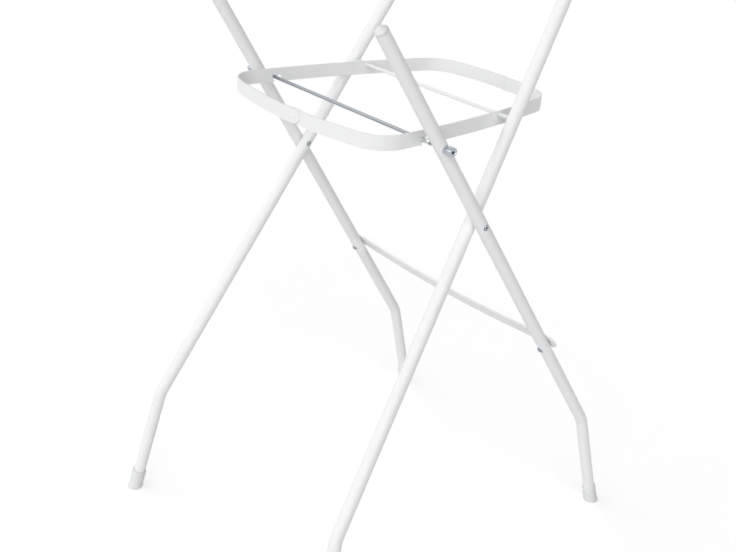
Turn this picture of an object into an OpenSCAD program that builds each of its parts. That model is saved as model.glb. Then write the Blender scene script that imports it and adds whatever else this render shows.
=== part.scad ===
// Folding stand for a baby bath.
// Two crossed tube frames turn on one pivot line. A steel band ring hangs on the rear rod,
// hooks over the front rod and ties the frames together while it carries the bath.
// X runs along the rods, Y across the stand, Z up. The origin is on the floor, in the middle.
// Distances "along the leg" are measured from the pivot in the side view, before the splay.

/* [Legs] */
// Height of the pivot line above the floor
pivot_height = 675; // [630:5:720]
// Distance between the two outer legs, centre to centre, at the pivot
leg_spread = 492; // [482:2:560]
// Lean of every leg from the vertical, in degrees
lean = 32.6; // [28:0.2:36]
// Outward splay of the outer frame's legs, in degrees
outer_splay = 2.7; // [0:0.1:4]
// Outward splay of the inner frame's legs, in degrees
inner_splay = 5.3; // [0:0.1:5.8]
// Distance along the leg from the pivot up to the tube's top end
leg_above = 400; // [320:5:460]
// Distance along the leg from the pivot down to the corner of the foot bend
foot_bend_at = 555; // [480:5:590]
// Lean of the feet below the bend, in degrees
foot_lean = 14.8; // [4:0.2:24]
// Centreline radius of the foot bend
foot_bend_r = 75; // [45:5:140]
// How much thinner the tube is drawn in its bend
bend_squeeze = 0.1; // [0.08:0.02:0.4]
// Outside diameter of the tube
tube_d = 22; // [19:0.5:25]
// Wall of the tube
tube_wall = 1.5; // [1:0.1:2.5]

/* [Pivots] */
// Gap between the crossing tubes at the pivot
pivot_gap = 2.6; // [2.4:0.1:4]
// Diameter of the pivot screws
pivot_screw_d = 6; // [5:0.5:8]
// Diameter of the pivot screws' heads and of their nuts, which are sunk in the tubes
pivot_head_d = 10; // [9:0.5:12]
// How far the heads and nuts lie below the rims of their holes
pivot_head_sunk = 0.6; // [0.2:0.2:2]
// Bevel on the rims of the heads and nuts
pivot_head_edge = 0.5; // [0.2:0.1:1]
// Width across flats of the hexagon sockets in the heads and nuts
pivot_socket = 5; // [3:0.5:6]
// Depth of the sockets in the heads and nuts
pivot_socket_depth = 4; // [2:0.5:5]
// Diameter of the washers between the tubes
washer_d = 12; // [10:0.5:13]
// Thickness of the washers between the tubes
washer_t = 1.2; // [0.5:0.1:1.4]

/* [Rods] */
// Distance along the leg from the pivot up to the rods
rod_at = 176; // [140:1:220]
// Diameter of both rods
rod_d = 6; // [5:0.5:7]
// Diameter of the barrel nuts on the front rod
barrel_d = 15.5; // [12:0.5:18]
// How far the barrel nuts stand off the tube
barrel_h = 15; // [12:0.5:20]
// Width across flats of the barrel nuts' hexagon sockets
barrel_socket = 5; // [4:0.5:7]
// Outside diameter of the spacers on the rods
spacer_d = 8; // [7.6:0.2:11]
// Length of the front rod's spacers
front_spacer_l = 18; // [10:0.5:22]
// Thickness of the front spacers' flanges
flange_t = 1.4; // [1:0.1:3]
// How far the front spacers' flanges stand out
flange_rim = 0.6; // [0.4:0.1:2]

/* [Ring] */
// How far the ring reaches to the front, from the middle of the stand
ring_front_reach = 210; // [190:2:230]
// How far the ring reaches to the back, from the middle of the stand
ring_rear_reach = 270; // [240:2:290]
// Room between the ring and an outer leg, at the front rod
front_room = 32.6; // [27:0.2:45]
// Room between the ring and an inner leg, at the rear rod
rear_room = 22.8; // [12:0.2:34]
// How far the ring's middle lies below the rods, halfway between them
ring_drop = 1.8; // [0:0.1:3]
// Fall of the ring towards the back, in degrees
ring_fall = 2.8; // [0:0.1:3.4]
// Height of the band
band_h = 24; // [20:1:32]
// Thickness of the band
band_t = 2.5; // [2:0.1:4]
// Outside radius of the front side, which bows outwards
front_side_r = 720; // [500:10:1500]
// Outside radius of the rear side, which bows outwards
rear_side_r = 500; // [350:10:1500]
// Outside radius of the sides along the legs, which bow outwards
flank_r = 1900; // [1200:20:3000]
// Outside radius of the two front corners
front_corner_r = 54; // [40:1:80]
// Outside radius of the two rear corners
rear_corner_r = 62; // [40:1:90]
// Length over which the two halves of the ring lap
lap = 20; // [14:1:40]
// How far to the right of the middle the laps lie
lap_at = 21; // [-30:1:30]
// Length of the joggle that lets one half pass behind the other
joggle = 5; // [3:0.5:10]
// Shank diameter of the ring's rivets
rivet_d = 4; // [3:0.5:5]
// Head diameter of the ring's rivets
rivet_head_d = 7.5; // [6.5:0.5:10]
// Height of the rivets' heads
rivet_head_h = 1.6; // [1:0.1:2.5]
// How far the middle of the hook's mouth lies behind the rod's seat
mouth_at = 10.5; // [9:0.5:14]
// Width of the hook's mouth
mouth_w = 10; // [8:0.5:12]
// Height of the mouth's arch above the rod's centre
mouth_rise = 3; // [1:0.5:8]

/* [Stretcher] */
// Distance along the leg from the pivot down to the stretcher
stretcher_at = 321; // [240:2:400]
// Width of the stretcher strip
strip_w = 25; // [16:0.5:30]
// Thickness of the stretcher strip
strip_t = 4; // [2:0.5:5]
// How far the strip's ends pass the outer legs' centres
strip_past = 18; // [14:1:30]
// How far the strip bows forward at its middle
strip_bow = 8; // [3:0.5:14]
// Diameter of the stretcher screws
strip_screw_d = 5; // [4:0.5:6]
// Head diameter of the stretcher screws
strip_head_d = 11.5; // [8:0.5:13]
// Height of the stretcher screws' heads
strip_head_h = 2.8; // [2.2:0.1:4]
// Width across flats of the stretcher screws' hexagon sockets
strip_socket = 3; // [2.5:0.5:4]

/* [Caps] */
// Wall of the foot caps round the tube
cap_wall = 2.2; // [1.5:0.1:4]
// Thickness of the foot caps under the tube
cap_floor = 4; // [3:0.5:8]
// How far the foot caps reach up the tube
cap_grip = 30; // [20:1:50]
// How far the foot caps flare at the floor
cap_flare = 2; // [0.5:0.5:4]
// How far the top plugs reach into the tube
plug_depth = 24; // [12:1:40]
// Wall of the hollow top plugs
plug_wall = 2; // [1.5:0.1:4]
// Height of the top plugs' rims above the tube
plug_rim = 2.5; // [1.5:0.5:5]
// Height of the top plugs' domes above their rims
dome_h = 6; // [3:0.5:9]

/* [Fits] */
// Clearance on the diameter of a fixed screw or rod in its hole
hole_play = 0.4; // [0.2:0.1:0.8]
// Clearance on the diameter of a screw or rod that a piece turns on
turn_play = 0.18; // [0.1:0.02:0.2]
// Clearance on the diameter of a piece that beds on or in a tube
bed_play = 0.2; // [0.1:0.1:0.4]
// Face clearance between pieces that lie side by side
side_play = 0.3; // [0.2:0.1:0.6]
// Room for the front rod in the hook's notch, on the diameter
notch_play = 1; // [0.8:0.1:2]

/* [Hidden] */

$fn = 64;
hexagon = 6;
dome_facets = 180;
white = [0.93, 0.94, 0.94];
zinc = [0.72, 0.74, 0.76];
dark_steel = [0.45, 0.46, 0.47];
plastic = [0.88, 0.89, 0.89];
nylon = [0.85, 0.85, 0.83];

tube_r = tube_d / 2;
bore_d = tube_d - 2 * tube_wall;
outer_half = leg_spread / 2;
inner_half = outer_half - tube_d - pivot_gap;
// How far a cutter runs past the face that it opens
over = 2;

// A leg is named by its side, -1 left or 1 right, and by its frame, outer or not.
// The lower ends of the outer legs go towards +Y, those of the inner legs towards -Y.
function y_way(outer) = outer ? 1 : -1;
function splay(outer) = outer ? outer_splay : inner_splay;
function half_at_pivot(outer) = outer ? outer_half : inner_half;
function down_leg(side, outer, angle) =
  [side * tan(splay(outer)), y_way(outer) * sin(angle), -cos(angle)];
function pivot_point(side, outer) = [side * half_at_pivot(outer), 0, pivot_height];
// Point of a leg's centreline at a distance s below the pivot
function leg_point(side, outer, s) = pivot_point(side, outer) + s * down_leg(side, outer, lean);
function foot_point(side, outer, s) =
  leg_point(side, outer, foot_bend_at) + s * down_leg(side, outer, foot_lean);

// The foot's tube ends where its lowest edge is cap_floor above the ground
foot_drop = pivot_height - foot_bend_at * cos(lean);
foot_length = (foot_drop - cap_floor - tube_r * sin(foot_lean)) / cos(foot_lean);

rod_y = rod_at * sin(lean);
rod_z = pivot_height + rod_at * cos(lean);
outer_rod_x = outer_half - rod_at * tan(outer_splay);
inner_rod_x = inner_half - rod_at * tan(inner_splay);

// Square to an outer leg in the side view, towards its back and up
back_of_leg = [0, cos(lean), sin(lean)];

function unit(v) = v / norm(v);
function across_flats(w) = w / cos(180 / hexagon);

// Puts a piece drawn along +Z on a start point, turned to run along a direction
module aim(start, dir) {
  u = unit(dir);
  translate(start)
    rotate([0, acos(u[2]), atan2(u[1], u[0])])
      children();
}

// Straight round bar between two points
module bar(from, to, d) {
  aim(from, to - from)
    cylinder(h = norm(to - from), d = d);
}

// Angle by which the bend runs on into the straight foot
bend_into = 0.5;

// Round bar with one bend: straight up Z from the bend's start, and below it towards -X
module bent_bar(up, turn, down, d) {
  cylinder(h = up, d = d);
  translate([-foot_bend_r, 0, 0]) {
    rotate([-90, 0, 0])
      rotate_extrude(angle = turn + bend_into)
        translate([foot_bend_r, 0])
          circle(d = d - bend_squeeze);
    rotate([0, turn, 0])
      translate([foot_bend_r, 0, -down])
        cylinder(h = down, d = d);
  }
}

// Space that a leg's straight part takes up, for the pieces that bed on it
module leg_space(side, outer) {
  bar(leg_point(side, outer, -leg_above), leg_point(side, outer, foot_bend_at - foot_bend_r),
    tube_d + bed_play);
}

module hex_socket(w, depth) {
  cylinder(h = depth, d = across_flats(w), $fn = hexagon);
}

// Button head on the plane z = 0, with its dome up and a hexagon socket
module button_head(d, h, socket) {
  edge = h * 0.3;
  socket_floor = h * 0.35;
  cap = h - edge;
  dome_r = (d * d / 4 + cap * cap) / (2 * cap);
  difference() {
    rotate_extrude()
      intersection() {
        translate([0, h - dome_r])
          circle(r = dome_r, $fn = dome_facets);
        square([d / 2, h]);
      }
    translate([0, 0, socket_floor])
      hex_socket(socket, h);
  }
}

// One white tube with its foot bend, drilled for what passes through it
module leg(side, outer) {
  top = leg_point(side, outer, -leg_above);
  bend = leg_point(side, outer, foot_bend_at);
  foot = foot_point(side, outer, foot_length);
  up = unit(top - bend);
  down = unit(foot - bend);
  turn = acos(-up * down);
  tangent = foot_bend_r * tan(turn / 2);
  outward = -unit(down + cos(turn) * up);
  aside = cross(up, outward);
  start = bend + tangent * up;
  rise = norm(top - start);
  drop = norm(foot - bend) - tangent;
  rod = leg_point(side, outer, -rod_at);
  across = [tube_d, 0, 0];
  pin = pivot_point(side, outer);
  color(white)
    difference() {
      multmatrix([
        [outward[0], aside[0], up[0], start[0]],
        [outward[1], aside[1], up[1], start[1]],
        [outward[2], aside[2], up[2], start[2]],
        [0, 0, 0, 1]
      ])
        difference() {
          bent_bar(rise, turn, drop, tube_d);
          bent_bar(rise + over, turn, drop + over, bore_d);
        }
      bar(pin - across, pin + across, pivot_screw_d + (outer ? hole_play : turn_play));
      bar(pin, pin + (outer ? side : -side) * across,
        pivot_head_d + (outer ? hole_play : turn_play));
      if (outer) {
        bar(rod - across, rod + across, rod_d + hole_play);
        screw = leg_point(side, outer, stretcher_at);
        bar(screw - tube_d * back_of_leg, screw + tube_d * back_of_leg,
          strip_screw_d + hole_play);
      } else {
        // The rear rod ends inside the tube, so only the wall towards the middle is drilled
        bar(rod - side * across, rod, rod_d + hole_play);
      }
    }
}

// Stretcher: a flat strip behind the outer legs, bowed forward between them.
// It is drawn with Z square to the legs, towards their back, and Y down along them.
module stretcher_strip() {
  leg_x = outer_half + stretcher_at * tan(outer_splay);
  free = leg_x - tube_r - strip_t;
  arc_r = (free * free + strip_bow * strip_bow) / (2 * strip_bow);
  centre = [0, arc_r - strip_bow];
  under = asin(free / arc_r);
  above = acos((centre[1] - strip_t) / (arc_r - strip_t));
  end_x = leg_x + strip_past - strip_w / 2;
  past_end = end_x + strip_w;
  color(white)
    translate([0, stretcher_at * sin(lean), pivot_height - stretcher_at * cos(lean)])
      rotate([lean - 90, 0, 0])
        translate([0, 0, tube_r + side_play])
          difference() {
            intersection() {
              // Side view, bowed between the legs and flat on them
              rotate([90, 0, 0])
                linear_extrude(height = 2 * strip_w, center = true)
                  polygon(concat([[-past_end, 0]], arc(centre, arc_r, -90 - under, under - 90),
                    [[past_end, 0], [past_end, strip_t]],
                    reversed(arc(centre, arc_r - strip_t, -90 - above, above - 90)),
                    [[-past_end, strip_t]]));
              // View from above, round at both ends
              translate([0, 0, -strip_bow - over])
                linear_extrude(height = strip_bow + strip_t + 2 * over) {
                  square([2 * end_x, strip_w], center = true);
                  for (side = [-1, 1])
                    translate([side * end_x, 0])
                      circle(d = strip_w);
                }
            }
            for (side = [-1, 1])
              translate([side * leg_x, 0, -over])
                cylinder(h = strip_t + 2 * over, d = strip_screw_d + hole_play);
          }
}

// Screws through the outer legs into the strip, with their heads bedded on the front
module stretcher_screws() {
  reach = tube_r + side_play + strip_t;
  color(dark_steel)
    for (side = [-1, 1]) {
      at = leg_point(side, true, stretcher_at);
      bar(at - tube_r * back_of_leg, at + reach * back_of_leg, strip_screw_d);
      difference() {
        aim(at - (tube_r - strip_head_h / 3) * back_of_leg, -back_of_leg)
          button_head(strip_head_d, strip_head_h * 4 / 3, strip_socket);
        leg_space(side, true);
      }
    }
}

// Front rod: bare steel, through both outer legs and into the barrel nuts
module front_rod() {
  reach = outer_rod_x + tube_r + barrel_h / 2;
  color(zinc)
    bar([-reach, -rod_y, rod_z], [reach, -rod_y, rod_z], rod_d);
}

// Barrel nut on the front rod's end, bedded on the outside of an outer leg
module barrel_nut(side) {
  seat_x = outer_rod_x + tube_r / 2;
  length = tube_r / 2 + barrel_h;
  edge = barrel_d / 6;
  socket_depth = barrel_h / 3;
  color(zinc)
    difference() {
      aim([side * seat_x, -rod_y, rod_z], [side, 0, 0])
        difference() {
          rotate_extrude() {
            square([barrel_d / 2, length - edge]);
            square([barrel_d / 2 - edge, length]);
            translate([barrel_d / 2 - edge, length - edge])
              circle(r = edge);
          }
          translate([0, 0, -over])
            cylinder(h = tube_r / 2 + barrel_h / 2 + side_play + over, d = rod_d + hole_play);
          translate([0, 0, length - socket_depth])
            hex_socket(barrel_socket, barrel_h);
        }
      leg_space(side, true);
    }
}

// Flanged spacers that centre the ring's hooks on the front rod
module front_rod_spacers() {
  flange_d = spacer_d + 2 * flange_rim;
  face = flank_x(-rod_y - flange_d / 2) + side_play;
  color(zinc)
    for (side = [-1, 1])
      aim([side * face, -rod_y, rod_z], [side, 0, 0])
        difference() {
          union() {
            cylinder(h = front_spacer_l, d = spacer_d);
            cylinder(h = flange_t, d = flange_d);
          }
          translate([0, 0, -over])
            cylinder(h = front_spacer_l + 2 * over, d = rod_d + hole_play);
        }
}

// Rear rod: coated with the inner frame, its ends inside the inner legs
module rear_rod() {
  reach = inner_rod_x + sqrt(pow(bore_d / 2, 2) - pow(rod_d / 2, 2)) - 2 * side_play;
  color(white)
    bar([-reach, rod_y, rod_z], [reach, rod_y, rod_z], rod_d);
}

// Spacers between the ring and the inner legs
module rear_rod_spacers() {
  face = flank_x(rod_y - spacer_d / 2) + side_play;
  color(nylon)
    for (side = [-1, 1])
      difference() {
        bar([side * face, rod_y, rod_z], [side * inner_rod_x, rod_y, rod_z], spacer_d);
        bar([side * (face - over), rod_y, rod_z], [side * (inner_rod_x + over), rod_y, rod_z],
          rod_d + hole_play);
        leg_space(side, false);
      }
}

// A pivot screw's head faces +X on both sides, in the outer leg at the right and in the inner
// leg at the left, and its nut faces -X in the other leg. Both stand inside the tube, clear of
// the wall that they face away from, and end just below the rim of their hole in the outer wall.
// These places are measured from the tube's centreline towards that hole.
sunk_seat = pivot_head_d / 2 * tan(inner_splay) + side_play
  - sqrt(pow(bore_d / 2, 2) - pow(pivot_head_d / 2, 2));
sunk_face = sqrt(pow(tube_r, 2) - pow((pivot_head_d + hole_play) / 2, 2)) - pivot_head_sunk;
sunk_length = sunk_face - sunk_seat;
// The screw fills two thirds of the nut below its socket
pivot_grip = (sunk_length - pivot_socket_depth) * 2 / 3;
function head_leg_x(side) = side > 0 ? outer_half : -inner_half;
function nut_leg_x(side) = side > 0 ? inner_half : -outer_half;

// Round body of a head or nut, standing on z = 0 with its socket up
module sunk_body() {
  head_r = pivot_head_d / 2;
  difference() {
    rotate_extrude()
      polygon([[0, 0], [head_r, 0], [head_r, sunk_length - pivot_head_edge],
        [head_r - pivot_head_edge, sunk_length], [0, sunk_length]]);
    translate([0, 0, sunk_length - pivot_socket_depth])
      hex_socket(pivot_socket, pivot_socket_depth + over);
  }
}

module pivot_screw(side) {
  under = head_leg_x(side) + sunk_seat;
  tail = nut_leg_x(side) - sunk_seat - pivot_grip;
  color(dark_steel) {
    bar([tail, 0, pivot_height], [under + over, 0, pivot_height], pivot_screw_d);
    aim([under, 0, pivot_height], [1, 0, 0])
      sunk_body();
  }
}

// Nuts on the pivot screws, blind below their sockets
module pivot_nuts() {
  color(zinc)
    for (side = [-1, 1])
      aim([nut_leg_x(side) - sunk_seat, 0, pivot_height], [-1, 0, 0])
        difference() {
          sunk_body();
          translate([0, 0, -over])
            cylinder(h = over + pivot_grip + side_play, d = pivot_screw_d + hole_play);
        }
}

// Washers that keep the crossing tubes apart
module pivot_washers() {
  middle = outer_half - tube_r - pivot_gap / 2;
  color(nylon)
    for (side = [-1, 1])
      difference() {
        bar([side * middle - washer_t / 2, 0, pivot_height],
          [side * middle + washer_t / 2, 0, pivot_height], washer_d);
        bar([side * middle - over, 0, pivot_height], [side * middle + over, 0, pivot_height],
          pivot_screw_d + hole_play);
      }
}

// The ring is drawn level, with its middle at the origin, and then laid on the rods
module on_rods() {
  translate([0, 0, rod_z - ring_drop])
    rotate([-ring_fall, 0, 0])
      children();
}
// Where the ring has the rod that lies at a distance y from the middle of the stand
function rod_in_ring(y) = [y * cos(ring_fall) - ring_drop * sin(ring_fall),
  y * sin(ring_fall) + ring_drop * cos(ring_fall)];

// The ring's outline is eight arcs that run into each other without a corner. Each is given
// by its centre and its outside radius, on the side towards +X.
half_at_front = outer_rod_x - tube_r - front_room;
half_at_rear = inner_rod_x - tube_r - rear_room;
front_centre = [0, front_side_r - ring_front_reach];
rear_centre = [0, ring_rear_reach - rear_side_r];
// The flank passes both rods at the given room from the legs
flank_chord = [half_at_rear - half_at_front, 2 * rod_y];
flank_rise = sqrt(pow(flank_r, 2) - pow(norm(flank_chord) / 2, 2));
flank_centre = [(half_at_front + half_at_rear) / 2, 0]
  - flank_rise * unit([flank_chord[1], -flank_chord[0]]);
// Outside face of the flank, at a distance y from the middle of the stand
function flank_x(y) = flank_centre[0] + sqrt(pow(flank_r, 2) - pow(y - flank_centre[1], 2));

// A corner's arc touches the arcs beside it from inside, so its centre lies on two circles
function corner_centre(end_centre, end_r, corner_r, way) =
  let (
    r1 = end_r - corner_r,
    r2 = flank_r - corner_r,
    apart = norm(flank_centre - end_centre),
    u = (flank_centre - end_centre) / apart,
    foot = (r1 * r1 - r2 * r2 + apart * apart) / (2 * apart),
    rise = way * sqrt(r1 * r1 - foot * foot)
  )
  end_centre + foot * u + rise * [u[1], -u[0]];
front_corner = corner_centre(front_centre, front_side_r, front_corner_r, -1);
rear_corner = corner_centre(rear_centre, rear_side_r, rear_corner_r, 1);

function seen_from(centre, point) = atan2(point[1] - centre[1], point[0] - centre[0]);
// Angle on the front side's arc, and on the rear side's, at a distance x from the middle
function front_angle(x) = -acos(x / front_side_r);
function rear_angle(x) = acos(x / rear_side_r);

// How far a chord may stay off its arc
chord_error = 0.015;
function arc(centre, radius, from, to) =
  let (steps = ceil((to - from) / (2 * acos(1 - chord_error / radius))))
  [for (i = [0:steps]) let (a = from + (to - from) * i / steps)
    centre + radius * [cos(a), sin(a)]];

// How far the back layer lies behind the front one
behind = band_t + side_play / 2;

// One face of a half, at a depth under the band's outside, from the front lap round to the
// rear one. The laps lie at a distance x from the middle, and the ends pass them by half a
// lap. The back layer joggles in behind the front one.
function half_face(depth, front, x) =
  let (
    end = x - lap / 2,
    free = x + lap / 2 + side_play,
    full = front ? end - over : free + joggle,
    deep = depth + behind
  )
  concat(
    front ? [] : arc(front_centre, front_side_r - deep, front_angle(end), front_angle(free)),
    arc(front_centre, front_side_r - depth, front_angle(full),
      seen_from(front_centre, front_corner)),
    arc(front_corner, front_corner_r - depth, seen_from(front_centre, front_corner),
      seen_from(flank_centre, front_corner)),
    arc(flank_centre, flank_r - depth, seen_from(flank_centre, front_corner),
      seen_from(flank_centre, rear_corner)),
    arc(rear_corner, rear_corner_r - depth, seen_from(flank_centre, rear_corner),
      seen_from(rear_centre, rear_corner)),
    arc(rear_centre, rear_side_r - depth, seen_from(rear_centre, rear_corner),
      rear_angle(full)),
    front ? [] : arc(rear_centre, rear_side_r - deep, rear_angle(free), rear_angle(end))
  );

function reversed(list) = [for (i = [len(list) - 1:-1:0]) list[i]];

module band(front, x, height) {
  translate([0, 0, -height / 2])
    linear_extrude(height = height)
      polygon(concat(half_face(0, front, x), reversed(half_face(band_t, front, x))));
}

// Band of one half, on the side +X. The left half is the front layer of both laps and ends
// round there.
module half_band(front) {
  if (front)
    intersection() {
      band(true, -lap_at, 2 * band_h);
      translate([band_h / 2 - lap_at - lap / 2, ring_rear_reach + over, 0])
        rotate([90, 0, 0])
          linear_extrude(height = ring_front_reach + ring_rear_reach + 2 * over) {
            circle(d = band_h);
            translate([0, -band_h / 2])
              square([front_side_r, band_h]);
          }
    }
  else
    band(false, lap_at, band_h);
}

// Notch of the hook, drawn in the side view with the seat's centre at the origin: the seat,
// the way that the rod takes out of it as the stand starts to fold, and the arched mouth.
module notch_outline() {
  seat_r = (rod_d + notch_play) / 2;
  mouth_r = mouth_w / 2;
  arch_z = mouth_rise - mouth_r;
  below = -band_h - over;
  way = atan(3 * tan(lean)) - ring_fall;
  beside = seat_r * [sin(way), cos(way)];
  out = (beside[1] - below) * [1 / tan(way), -1];
  circle(r = seat_r);
  polygon([-beside, beside, beside + out, -beside + out]);
  translate([mouth_at, arch_z])
    circle(r = mouth_r);
  translate([mouth_at - mouth_r, below])
    square([mouth_w, arch_z - below]);
}

// The rivets' places on the outside of the band, and the ways in which they point
rivet_spots = [
  for (end = [[front_centre, front_side_r, front_angle(lap_at)],
    [rear_centre, rear_side_r, rear_angle(lap_at)]])
    let (out = [cos(end[2]), sin(end[2])]) [end[0] + end[1] * out, out]
];

module ring_half(side) {
  front = side < 0;
  rear = rod_in_ring(rod_y);
  seat = rod_in_ring(-rod_y);
  color(white)
    on_rods()
      difference() {
        mirror([front ? 1 : 0, 0, 0])
          half_band(front);
        // Rivet holes through the laps
        for (spot = rivet_spots)
          translate([spot[0][0], spot[0][1], 0])
            rotate([90, 0, atan2(spot[1][1], spot[1][0]) + 90])
              translate([0, 0, -3 * band_t - over])
                cylinder(h = 3 * band_t + 2 * over, d = rivet_d + hole_play);
        // Hole that turns on the rear rod
        translate([side * (half_at_rear - 4 * band_t), rear[0], rear[1]])
          rotate([0, 90 * side, 0])
            cylinder(h = 8 * band_t, d = rod_d + turn_play);
        // Notch that hooks over the front rod
        translate([side * half_at_front - 4 * band_t, seat[0], seat[1]])
          rotate([90, 0, 90])
            linear_extrude(height = 8 * band_t)
              notch_outline();
      }
}

// Rivets through the laps, a dome outside and a flat head inside
module ring_rivets() {
  grip = 2 * band_t + side_play / 2;
  tail = rivet_head_h / 2;
  dome_r = (pow(rivet_head_d / 2, 2) + pow(rivet_head_h, 2)) / (2 * rivet_head_h);
  color(white)
    on_rods()
      for (spot = rivet_spots)
        translate([spot[0][0], spot[0][1], 0])
          rotate([90, 0, atan2(spot[1][1], spot[1][0]) + 90])
            translate([0, 0, side_play / 2]) {
              rotate_extrude()
                intersection() {
                  translate([0, rivet_head_h - dome_r])
                    circle(r = dome_r, $fn = dome_facets);
                  square([rivet_head_d / 2, rivet_head_h]);
                }
              translate([0, 0, -grip - side_play])
                cylinder(h = grip + side_play + tail, d = rivet_d);
              translate([0, 0, -grip - side_play - tail])
                cylinder(h = tail, d = rivet_head_d);
            }
}

// Foot cap: a cup on the tube's end, cut flat where it stands
module foot_cap(side, outer) {
  end = foot_point(side, outer, foot_length);
  run = unit(down_leg(side, outer, foot_lean));
  cup_r = tube_r + cap_wall;
  rim = cap_wall / 2;
  sole = 2 * (cap_floor + cup_r);
  color(plastic)
    difference() {
      aim(end, run)
        difference() {
          union() {
            translate([0, 0, -cap_grip])
              cylinder(h = rim, r1 = cup_r - rim, r2 = cup_r);
            translate([0, 0, rim - cap_grip])
              cylinder(h = cap_grip - rim, r = cup_r);
            cylinder(h = sole, r1 = cup_r, r2 = cup_r + cap_flare * sole / cap_floor / 2);
          }
          translate([0, 0, -cap_grip - over])
            cylinder(h = cap_grip + over, d = tube_d + bed_play);
        }
      translate([end[0] - 3 * sole, end[1] - 3 * sole, -6 * sole])
        cube(6 * sole);
    }
}

// Top plug: hollow shank in the tube, rim and dome over its end
module top_cap(side, outer) {
  top = leg_point(side, outer, -leg_above);
  out = -unit(down_leg(side, outer, lean));
  dome_r = (tube_r * tube_r + dome_h * dome_h) / (2 * dome_h);
  color(plastic)
    aim(top + side_play / 3 * out, out)
      difference() {
        union() {
          translate([0, 0, -plug_depth])
            cylinder(h = plug_depth, d = bore_d - bed_play);
          cylinder(h = plug_rim, d = tube_d);
          translate([0, 0, plug_rim])
            rotate_extrude()
              intersection() {
                translate([0, dome_h - dome_r])
                  circle(r = dome_r, $fn = dome_facets);
                square([tube_r, dome_h]);
              }
        }
        translate([0, 0, -plug_depth - over])
          cylinder(h = plug_depth + over, d = bore_d - bed_play - 2 * plug_wall);
      }
}

leg(-1, true);  // outer_leg_left
leg(1, true);  // outer_leg_right
stretcher_strip();
stretcher_screws();
front_rod();
barrel_nut(-1);  // barrel_nut_left
barrel_nut(1);  // barrel_nut_right
front_rod_spacers();
pivot_screw(-1);  // pivot_screw_left
pivot_screw(1);  // pivot_screw_right
pivot_nuts();
pivot_washers();
leg(-1, false);  // inner_leg_left
leg(1, false);  // inner_leg_right
rear_rod();
rear_rod_spacers();
ring_half(-1);  // ring_half_left
ring_half(1);  // ring_half_right
ring_rivets();
foot_cap(-1, true);  // outer_foot_cap_left
foot_cap(1, true);  // outer_foot_cap_right
foot_cap(-1, false);  // inner_foot_cap_left
foot_cap(1, false);  // inner_foot_cap_right
top_cap(-1, true);  // outer_top_cap_left
top_cap(1, true);  // outer_top_cap_right
top_cap(-1, false);  // inner_top_cap_left
top_cap(1, false);  // inner_top_cap_right
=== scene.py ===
"""Looks of a folding baby bath stand: white coated tubes, a band ring, bare rods and screws."""

import logging
import math
from dataclasses import dataclass, field
from enum import Enum

import bpy
from mathutils import Matrix, Vector


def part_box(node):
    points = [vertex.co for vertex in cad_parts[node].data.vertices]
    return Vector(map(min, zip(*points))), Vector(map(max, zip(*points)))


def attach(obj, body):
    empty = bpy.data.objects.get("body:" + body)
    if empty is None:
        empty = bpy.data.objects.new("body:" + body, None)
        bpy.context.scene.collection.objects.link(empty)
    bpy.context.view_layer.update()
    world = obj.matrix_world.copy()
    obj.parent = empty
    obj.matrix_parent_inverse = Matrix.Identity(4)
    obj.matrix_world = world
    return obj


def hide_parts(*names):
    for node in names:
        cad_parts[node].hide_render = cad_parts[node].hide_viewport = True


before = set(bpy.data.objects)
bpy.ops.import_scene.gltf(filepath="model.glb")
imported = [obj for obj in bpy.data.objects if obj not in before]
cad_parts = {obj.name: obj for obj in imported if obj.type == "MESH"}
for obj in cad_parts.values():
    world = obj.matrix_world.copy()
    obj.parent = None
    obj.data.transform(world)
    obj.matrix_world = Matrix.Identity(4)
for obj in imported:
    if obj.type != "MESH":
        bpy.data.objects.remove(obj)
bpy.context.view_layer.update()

LOG = logging.getLogger("bath_stand")
PHOTO_WIDTH_PX = 736
SMOOTH_UNDER = 32
ROUNDED = 0.3
HEXAGON = 6


class Body(Enum):
    """The bodies that the pieces ride on."""

    OUTER_FRAME = "outer_frame"
    INNER_FRAME = "inner_frame"
    RING = "ring"


class Slot(Enum):
    """The record's material slots."""

    WHITE_STEEL = "white_coated_steel"
    ZINC = "bare_zinc"
    SCREW_STEEL = "dark_screw_steel"
    PLASTIC = "white_plastic"


class Side(Enum):
    """The two sides of the stand, along X."""

    LEFT = -1
    RIGHT = 1

    @property
    def word(self) -> str:
        """Returns the side's name in piece names."""
        return self.name.lower()


# ---------------------------------------------------------------------------
# Materials
# ---------------------------------------------------------------------------


@dataclass(frozen=True)
class Line:
    """The axis of a screw or nut: a point on it and its unit way."""

    point: tuple[float, float, float]
    way: tuple[float, float, float] = (1.0, 0.0, 0.0)


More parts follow.
